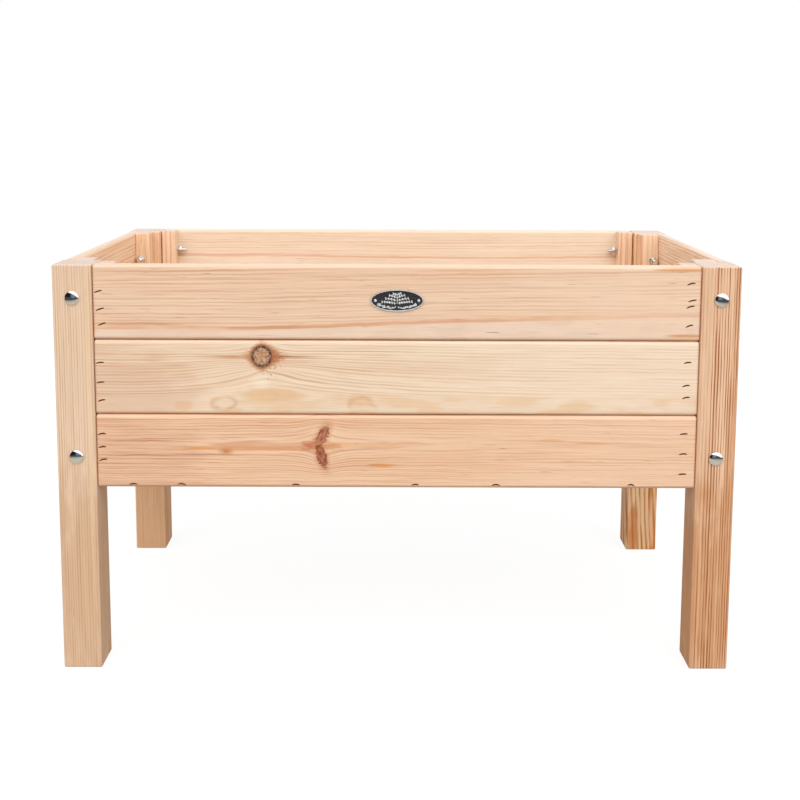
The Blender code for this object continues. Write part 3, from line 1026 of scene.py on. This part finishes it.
def makeHoleCutter(node):
    # A through hole with a square pocket for the neck.
    matrix, length = boltFrame(node)
    body = bmesh.new()
    shaft = Matrix.Translation((0, 0, -length / 2))
    radius = bolt["radius"] + bolt["holeSlack"]
    bmesh.ops.create_cone(
        body, cap_ends=True, segments=32, radius1=radius, radius2=radius, depth=length + 0.02, matrix=shaft,
    )
    bore = finishMesh(body, "hole")
    half = bolt["neck"] / 2 + bolt["neckSlack"]
    halfDeep = 0.006                # the pocket runs out past the face
    pocket = boxMesh("pocket", Vector((half, half, halfDeep)))
    down = Matrix.Translation((0, 0, halfDeep - bolt["neckLong"] - bolt["neckSlack"]))
    return [
        workObject("hole_" + node, bore, matrix),
        workObject("pocket_" + node, pocket, matrix @ down),
    ]


boltNodes = sorted(name for name in frame["nodes"] if name.startswith("coach_bolt_"))
holes = {node: makeHoleCutter(node) for node in boltNodes}


def holesThrough(end, side, kinds, pockets):
    found = []
    for node in boltNodes:
        if f"_{end}_{side}_" in node and any(f"_{kind}_" in node for kind in kinds):
            found += holes[node] if pockets else holes[node][:1]
    return found


def makeNotches(node):
    # The end floor boards are notched round the battens in their corners.
    side = "left" if node == "floor_board_1" else "right"
    cutters = []
    slip = 0.0008
    for end, sign in ends.items():
        sideLow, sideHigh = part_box(f"{side}_wall_batten_{end}")
        endLow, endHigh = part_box(f"{end}_wall_batten_{side}")
        x = (endLow.x - slip) if side == "right" else (endHigh.x + slip)
        y = (sideLow.y - slip) if end == "back" else (sideHigh.y + slip)
        far = Vector((sides[side] * 0.5, sign * 0.5, 0.3))
        half = Vector((abs(far.x - x) / 2, abs(far.y - y) / 2, 0.2))
        middle = Vector(((far.x + x) / 2, (far.y + y) / 2, 0.25))
        cutters.append(workObject("notch", boxMesh("notch", half), Matrix.Translation(middle)))
    return cutters


def makeAllTimber():
    for end in ends:
        for side in sides:
            makeTimber(
                f"leg_{end}_{side}", "post", "Z", "X", timber["legRound"], "leg",
                holesThrough(end, side, ("face", "side"), True),
            )
            makeTimber(
                f"{end}_wall_batten_{side}", "strip", "Z", "X", timber["battenRound"],
                "batten", holesThrough(end, side, ("side",), False),
            )
            makeTimber(
                f"{side}_wall_batten_{end}", "strip", "Z", "X", timber["battenRound"],
                "batten", holesThrough(end, side, ("face",), False),
            )
    for wall in ("front", "back", "left", "right"):
        along = "X" if wall in ends else "Y"
        # Through the face: X and Z give -Y, Y and Z give +X.
        outward = {"front": 1, "back": -1, "left": -1, "right": 1}[wall]
        for level in ("bottom", "middle", "top"):
            node = f"{wall}_board_{level}"
            low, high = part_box(node)
            halfLength = max(high - low) / 2
            makeTimber(
                node, "plank", along, "Z", timber["boardRound"], "board",
                slots=staplesFor(wall, level, halfLength), outward=outward,
            )
        makeTimber(
            f"{wall}_floor_bearer", "rail", along, "Z", timber["battenRound"], "batten",
        )
    for number in range(1, 9):
        node = f"floor_board_{number}"
        cutters = makeNotches(node) if number in (1, 8) else ()
        makeTimber(node, "slat", "Y", "X", timber["boardRound"], "board", cutters)
    print("timber made")


makeAllTimber()


# Coach bolts, washers and nuts.

def metal(name, tone, rough, spread, tint):
    material, tree, shader = newMaterial(name)
    place = objectPlace(tree)
    cloud = noise(stretch(place, (160, 160, 160), (2, 5, 1)), detail=4, rough=0.6)
    fine = noise(stretch(place, (1600, 1600, 1600), (7, 3, 4)), detail=2)
    colour = blend(cloud.rise(0.40, 0.66), tone, tint)
    plug(shader.inputs["Base Color"], colour)
    plug(shader.inputs["Roughness"], cloud * spread + fine * (spread * 0.5) + rough)
    shader.inputs["Metallic"].default_value = 1.0
    addBump(shader, fine, 0.08, 0.0002)
    return material


zinc = metal("bright_zinc", (0.84, 0.85, 0.87, 1), 0.04, 0.08, (0.76, 0.78, 0.78, 1))


def latheMesh(name, points, segments):
    # Turns a profile of (radius, height) about Z.
    body = bmesh.new()
    skin(body, [ring(body, radius, height, segments) for radius, height in points], segments)
    if points[0] == points[-1]:
        bmesh.ops.remove_doubles(body, verts=body.verts, dist=1e-7)
        bmesh.ops.recalc_face_normals(body, faces=body.faces)
    return finishMesh(body, name, 38)


def boltMesh(length):
    # Domed head, square neck, plain shank and a rolled thread that ends in a small chamfer.
    body = bmesh.new()
    segments, headSteps, threadSteps = 48, 14, 6
    lift, neckEnd = bolt["liftOff"], bolt["liftOff"] - bolt["neckLong"]
    half = bolt["neck"] / 2
    end = lift + bolt["headHigh"] - length
    rings = []

    def add(reach, height):
        rings.append(ring(body, reach, height, segments, 0.5))

    def square(angle):
        # The neck's outline, with slightly eased corners.
        flat = half / max(abs(math.cos(angle)), abs(math.sin(angle)), 1e-6)
        return min(flat, half * bolt["neckCorner"])

    for i in range(headSteps + 1):
        angle = math.radians(90) * i / headSteps
        dome = lift + bolt["headEdge"] + (bolt["headHigh"] - bolt["headEdge"]) * math.cos(angle)
        add(bolt["headRadius"] * math.sin(angle), dome)
    add(bolt["headRadius"], lift + 0.0003)
    add(bolt["headRadius"] - 0.0004, lift)
    add(square, lift)
    add(square, neckEnd)
    add(bolt["radius"] * bolt["shankShare"], neckEnd - 0.0004)
    chamferDeep, chamferLong = bolt["chamfer"]
    rows = int(bolt["threadLong"] / bolt["pitch"] * threadSteps)
    for row in range(rows + 1):
        height = end + bolt["threadLong"] - (bolt["threadLong"] - 0.0005) * row / rows
        chamfer = chamferDeep * max(0.0, 1 - (height - end) / chamferLong)
        runIn = min(1, row / bolt["runIn"])

        def thread(angle):
            phase = (height / bolt["pitch"] - angle / math.tau) % 1.0
            return bolt["radius"] - (bolt["threadDeep"] * abs(phase * 2 - 1) + chamfer) * runIn
        add(thread, height)
    add(bolt["tipRadius"], end)
    add(0, end)
    skin(body, rings, segments)
    return finishMesh(body, "coach_bolt", 38)


def washerMesh():
    inner, outer, thick = bolt["radius"] + 0.0002, bolt["washerRadius"], bolt["washerThick"]
    ease = 0.00025
    points = [
        (inner, -ease), (inner + ease, 0), (outer - ease, 0), (outer, -ease),
        (outer, -thick + ease), (outer - ease, -thick), (inner + ease, -thick), (inner, -thick + ease),
        (inner, -ease),
    ]
    return latheMesh("washer", points, 48)


def nutMesh():
    # A hexagon whose corners are turned off at 30 degrees, bored through.
    body = bmesh.new()
    segments, ease = 72, 0.0004
    thick, inner = bolt["nutThick"], bolt["radius"] - 0.0001
    crown = bolt["nutFlats"] / 2 * 0.96
    slope = math.tan(math.radians(30))

    def hexagon(angle):
        return bolt["nutFlats"] / 2 / math.cos((angle + math.pi / 6) % (math.pi / 3) - math.pi / 6)

    profile = [
        (inner, -ease), (inner + ease, 0), (crown, 0),
        (hexagon, lambda angle: -(hexagon(angle) - crown) * slope),
        (hexagon, lambda angle: -thick + (hexagon(angle) - crown) * slope),
        (crown, -thick), (inner + ease, -thick), (inner, -thick + ease),
    ]
    rings = [ring(body, reach, height, segments) for reach, height in profile]
    skin(body, rings + rings[:1], segments)
    return finishMesh(body, "nut", 22)


def makeBolts():
    washer, nut = washerMesh(), nutMesh()
    meshes = {}
    for node in boltNodes:
        matrix, length = boltFrame(node)
        kind = "face" if "_face_" in node else "side"
        if kind not in meshes:
            meshes[kind] = boltMesh(length)
            meshes[kind].materials.append(zinc)
        end = "front" if "_front_" in node else "back"
        side = "left" if "_left_" in node else "right"
        batten = f"{side}_wall_batten_{end}" if kind == "face" else f"{end}_wall_batten_{side}"
        low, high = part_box(batten)
        axis = 1 if kind == "face" else 0
        out = matrix.col[2][axis]
        inner = low[axis] if out > 0 else high[axis]
        depth = abs(matrix.translation[axis] - inner) + bolt["liftOff"]
        draw = random.Random("turn " + node)
        addPiece(node + "_bolt", meshes[kind], matrix, node, None)
        spin = Matrix.Rotation(draw.uniform(0, math.tau), 4, "Z")
        down = Matrix.Translation((0, 0, -depth))
        addPiece(node + "_washer", washer, matrix @ down @ spin, node, None)
        down = Matrix.Translation((0, 0, -depth - bolt["washerThick"] - 0.0001))
        addPiece(node + "_nut", nut, matrix @ down @ spin, node, None)
    for mesh in (washer, nut):
        mesh.materials.append(zinc)
    print("bolts made:", len(boltNodes))


makeBolts()

for obj in list(workshop.objects):
    bpy.data.objects.remove(obj, do_unlink=True)


# Oval badge with its relief and pins.

badge = {
    "rim": 0.00085,
    "sunk": 0.00075,
    "raised": 0.00042,                  # how far the ornament stands off the field
    "vineWide": 0.00060,
    "leafWide": 0.00085,
    "pinHead": 0.0017,
    "pinHigh": 0.0011,
    "pinShank": (0.0005, -0.0078, -0.0086),     # radius, where the taper starts, tip
    "hollows": ((0.012, 0.013, 0.018, 1), (0.040, 0.038, 0.040, 1)),
    "rubbed": ((0.66, 0.66, 0.66, 1), (0.92, 0.92, 0.92, 1)),
}

# The ornament, in millimetres from the middle of the field.
spray = {
    "stem": (-4.0, 13.4),               # foot and length
    "twigs": [(-3.6, 3.4, 17.0), (-0.4, 4.4, 13.0), (3.0, 4.6, 8.6), (6.2, 2.8, 4.2)],  # foot, rise, reach
    "arch": 0.62,
    "leafEvery": 2.9,
    "leafLong": 2.2,
    "leafTurns": (58, -38),
    "vineHalf": (25.2, 9.0),
    "vineRipple": (0.075, 3.5),         # how deep, how many waves on each side
    "vineLeaves": 9,
    "vineLeafLong": (3.0, 1.5),         # inner and outer leaf
}


def makePewter():
    # Dark in the hollows, rubbed bright on everything raised.
    material, tree, shader = newMaterial("old_pewter")
    place = objectPlace(tree)
    x, y, z = split(place)
    cloud = noise(stretch(place, (500, 500, 500), (0, 0, 0)), detail=3)
    rubbed = (z + (cloud - 0.5) * 0.0001).rise(0.00012, 0.00030)
    dark = blend(cloud.rise(0.40, 0.65), *badge["hollows"])
    bright = blend(cloud.rise(0.35, 0.65), *badge["rubbed"])
    plug(shader.inputs["Base Color"], blend(rubbed, dark, bright))
    plug(shader.inputs["Metallic"], rubbed * 0.40)
    plug(shader.inputs["Roughness"], 0.58 - rubbed * 0.26)
    return material


def ovalPlate(half, thick):
    # Rings of an oval from the back edge over the rim and down to the field; the field is at z = 0.
    body = bmesh.new()
    segments = 96
    top = badge["sunk"]
    back = top - thick
    rim = badge["rim"]
    profile = [
        (0.0003, back), (0.0, back + 0.0003), (0.0, top - 0.0004), (0.00012, top - 0.00012),
        (rim * 0.5, top), (rim * 0.88, top - 0.00012), (rim, top - 0.0003),
        (rim + 0.0003, 0.00005), (rim + 0.0005, 0.0),
    ]
    rings = []
    for inset, height in profile:
        rings.append([
            body.verts.new(((half.x - inset) * math.cos(a), (half.y - inset) * math.sin(a), height))
            for a in (math.tau * i / segments for i in range(segments))
        ])
    for first, second in zip(rings, rings[1:]):
        for i in range(segments):
            j = (i + 1) % segments
            body.faces.new((first[i], first[j], second[j], second[i]))
    body.faces.new(rings[0])
    body.faces.new(rings[-1])
    bmesh.ops.recalc_face_normals(body, faces=body.faces)
    return finishMesh(body, "badge_plate", 60)


def sweep(body, points, widths, rise, base):
    # A low rounded bead along a line of points, closed at both ends.
    rows = []
    for i, (point, width) in enumerate(zip(points, widths)):
        ahead = points[min(i + 1, len(points) - 1)] - points[max(i - 1, 0)]
        aside = Vector((-ahead.y, ahead.x)).normalized()
        share = width / max(widths)
        row = []
        for k in range(7):
            angle = math.pi * k / 6
            spot = point + aside * (width * math.cos(angle))
            row.append(body.verts.new((spot.x, spot.y, base + rise * share * math.sin(angle))))
        rows.append(row)
    for first, second in zip(rows, rows[1:]):
        for k in range(7):
            j = (k + 1) % 7
            body.faces.new((first[k], first[j], second[j], second[k]))
    body.faces.new(rows[0])
    body.faces.new(rows[-1])


def bead(body, curve, width, count=24, taper=0.35):
    shares = [i / count for i in range(count + 1)]
    points = [Vector(curve(t)) for t in shares]
    widths = [width * (taper + (1 - taper) * math.sin(math.pi * t) ** 0.5) for t in shares]
    sweep(body, points, widths, badge["raised"], 0.00001)


def leaf(body, x, y, angle, length):
    turn = math.radians(angle)
    ahead = Vector((math.cos(turn), math.sin(turn)))
    aside = Vector((-ahead.y, ahead.x))
    count = 12
    points, widths = [], []
    for i in range(count + 1):
        t = i / count
        bow = aside * (length * 0.10 * math.sin(math.pi * t))
        points.append(Vector((x, y)) + ahead * (length * t) + bow)
        widths.append(badge["leafWide"] * max(0.10, math.sin(math.pi * t ** 0.8)))
    sweep(body, points, widths, badge["raised"], 0.00001)


def makeBadge():
    low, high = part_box("badge_plate")
    half = Vector(((high.x - low.x) / 2, (high.z - low.z) / 2))
    thick = high.y - low.y
    turn = frameAxes("X", "Z")
    field = Matrix.Translation(((low.x + high.x) / 2, low.y + badge["sunk"], (low.z + high.z) / 2)) @ turn
    material = makePewter()
    addPiece("badge_plate_oval", ovalPlate(half, thick), field, "badge_plate", material)

    # A leaf spray in the middle and a running vine round the lower edge.
    mm = 0.001
    body = bmesh.new()
    wide = badge["vineWide"]
    foot, tall = spray["stem"]
    bead(body, lambda t: (0.3 * mm * math.sin(4 * t), (foot + tall * t) * mm), wide)

    def twig(t):
        return (side * reach * t * mm, (start + rise * t * (2 - t) * spray["arch"]) * mm)

    for side in (-1, 1):
        for start, rise, reach in spray["twigs"]:
            bead(body, twig, wide)
            count = max(2, round(reach / spray["leafEvery"]))
            for i in range(count):
                x, y = twig((i + 0.75) / count)
                for lift in spray["leafTurns"]:
                    leaf(body, x, y, lift if side > 0 else 180 - lift, spray["leafLong"] * mm)

    halfWide, halfHigh = spray["vineHalf"]
    deep, waves = spray["vineRipple"]
    inner, outer = spray["vineLeafLong"]

    def vine(t):
        a = math.radians(-90 + side * (4 + 62 * t))
        ripple = 1 - deep * math.sin(t * math.tau * waves)
        return (halfWide * ripple * mm * math.cos(a), halfHigh * ripple * mm * math.sin(a))

    for side in (-1, 1):
        bead(body, vine, wide * 1.15, count=60)
        for i in range(spray["vineLeaves"]):
            x, y = vine((i + 0.5) / spray["vineLeaves"])
            outward = math.degrees(math.atan2(y * 4, x))
            leaf(body, x, y, outward + 180 + side * 50, inner * mm)
            leaf(body, x, y, outward + side * 80, outer * mm)
    bmesh.ops.recalc_face_normals(body, faces=body.faces)
    mesh = finishMesh(body, "badge_ornament", 60)
    addPiece("badge_plate_ornament", mesh, field, "badge_plate", material)

    # Small domed pins.
    profile = []
    for i in range(9):
        a = math.radians(90) * i / 8
        profile.append((badge["pinHead"] * math.sin(a), 0.0001 + badge["pinHigh"] * math.cos(a)))
    radius, taper, tip = badge["pinShank"]
    profile += [(radius, 0.0001), (radius, taper), (0.0, tip)]
    pin = latheMesh("badge_pin", profile, 24)
    for side in sides:
        low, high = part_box(f"badge_pin_{side}")
        spot = field.copy()
        spot.translation = ((low.x + high.x) / 2, field.translation.y, (low.z + high.z) / 2)
        addPiece(f"badge_pin_{side}_pin", pin, spot, f"badge_pin_{side}", None)
    pin.materials.append(material)
    print("badge made")


makeBadge()


# Floor, light and camera.

studio = {
    "floorRadius": 6.0,
    "floorSeen": 1.07,
    "floorShade": 0.16,         # how much of the soft shadow shows
    "floorBounce": (0.43, 0.43, 0.43, 1),
    "floorTone": (0.9, 0.9, 0.9, 1),
    "mirroredNear": (0.60, 0.55, 0.44, 1),      # the sheet as bright metal reflects it
    "mirroredFar": (0.04, 0.04, 0.05, 1),
    "skyFill": 0.74,
    "softBox": (1.6, 1.6, 1.6, 1),
    "wallMiddle": (0.20, 0.25, 0.31, 1),
    "wallSides": (0.012, 0.012, 0.016, 1),
    "below": (0.46, 0.43, 0.36, 1),
    "keyStrength": 0.60,
    "fillStrength": 0.54,
    "softness": 55,
    "keyFrom": (0.55, -0.85, 0.72),
    "fillFrom": (-0.55, -0.85, 0.72),
}


def makeFloor():
    body = bmesh.new()
    bmesh.ops.create_circle(body, cap_ends=True, segments=96, radius=studio["floorRadius"])
    mesh = finishMesh(body, "studio_floor")
    floor = bpy.data.objects.new("studio_floor", mesh)
    floor.location.z = -0.0003      # a hair under the feet
    scene.collection.objects.link(floor)
    material, tree, shader = newMaterial("studio_floor")
    shader.inputs["Roughness"].default_value = 0.9
    shader.inputs["Specular IOR Level"].default_value = 0.1
    # The sheet is burnt out to white, as over a light table, with a trace of shadow left.
    path = tree.nodes.new("ShaderNodeLightPath")
    seen = Signal(tree, path.outputs["Is Camera Ray"])
    x, y, z = split(objectPlace(tree))
    far = (x.squared() + y.squared()).root().rise(0.7, 2.0)
    mirrored = blend(far, studio["mirroredNear"], studio["mirroredFar"])
    tone = blend(Signal(tree, path.outputs["Is Glossy Ray"]), studio["floorBounce"], mirrored)
    tone = blend(seen, tone, studio["floorTone"])
    plug(shader.inputs["Base Color"], tone)
    glow = tree.nodes.new("ShaderNodeEmission")
    glow.inputs["Strength"].default_value = studio["floorSeen"]
    mix = tree.nodes.new("ShaderNodeMixShader")
    plug(mix.inputs[0], seen * (1 - studio["floorShade"]))
    tree.links.new(shader.outputs[0], mix.inputs[1])
    tree.links.new(glow.outputs[0], mix.inputs[2])
    tree.links.new(mix.outputs[0], tree.nodes["Material Output"].inputs["Surface"])
    mesh.materials.append(material)


def makeSun(name, direction, strength, angle):
    lamp = bpy.data.lights.new(name, "SUN")
    lamp.energy = strength
    lamp.angle = math.radians(angle)
    obj = bpy.data.objects.new(name, lamp)
    obj.rotation_mode = "QUATERNION"
    obj.rotation_quaternion = Vector(direction).to_track_quat("Z", "Y")
    obj.visible_glossy = False
    scene.collection.objects.link(obj)


def makeStudio():
    world = bpy.data.worlds.new("studio")
    scene.world = world
    world.use_nodes = True
    tree = world.node_tree
    tree.nodes.clear()
    path = tree.nodes.new("ShaderNodeLightPath")
    coords = tree.nodes.new("ShaderNodeTexCoord")
    x, y, z = split(Signal(tree, coords.outputs["Generated"]))
    fill = studio["skyFill"]
    # What bright metal reflects: a soft box above, dark walls, and the pale sheet below.
    walls = blend(x.size().rise(0.10, 0.40), studio["wallMiddle"], studio["wallSides"])
    room = blend((z + x * 0.50).rise(0.24, 0.46), walls, studio["softBox"])
    room = blend(z.rise(-0.02, -0.16), room, studio["below"])
    tone = blend(Signal(tree, path.outputs["Is Glossy Ray"]), (fill, fill, fill, 1), room)
    tone = blend(Signal(tree, path.outputs["Is Camera Ray"]), tone, (1, 1, 1, 1))
    back = tree.nodes.new("ShaderNodeBackground")
    plug(back.inputs["Color"], tone)
    out = tree.nodes.new("ShaderNodeOutputWorld")
    tree.links.new(back.outputs[0], out.inputs["Surface"])
    makeSun("key", studio["keyFrom"], studio["keyStrength"] * math.pi / 2, studio["softness"])
    makeSun("fill", studio["fillFrom"], studio["fillStrength"] * math.pi / 2, studio["softness"])
    scene.view_settings.view_transform = "Standard"


camera = {
    "place": (0.0, -1.4487, 0.649),
    "down": 6.748,
    "roll": -0.229,
    "yaw": -0.116,
    "lens": 49.78,
    "shift": -0.19,
}


def makeCamera():
    lens = bpy.data.cameras.new("camera")
    lens.lens = camera["lens"]
    lens.sensor_width = 36
    lens.shift_y = camera["shift"]
    lens.clip_start = 0.05
    lens.clip_end = 60
    eye = bpy.data.objects.new("camera", lens)
    eye.location = camera["place"]
    eye.rotation_euler = (
        math.radians(90 - camera["down"]), math.radians(camera["roll"]), math.radians(camera["yaw"]),
    )
    scene.collection.objects.link(eye)
    scene.camera = eye


makeFloor()
makeStudio()
makeCamera()
print("studio made")
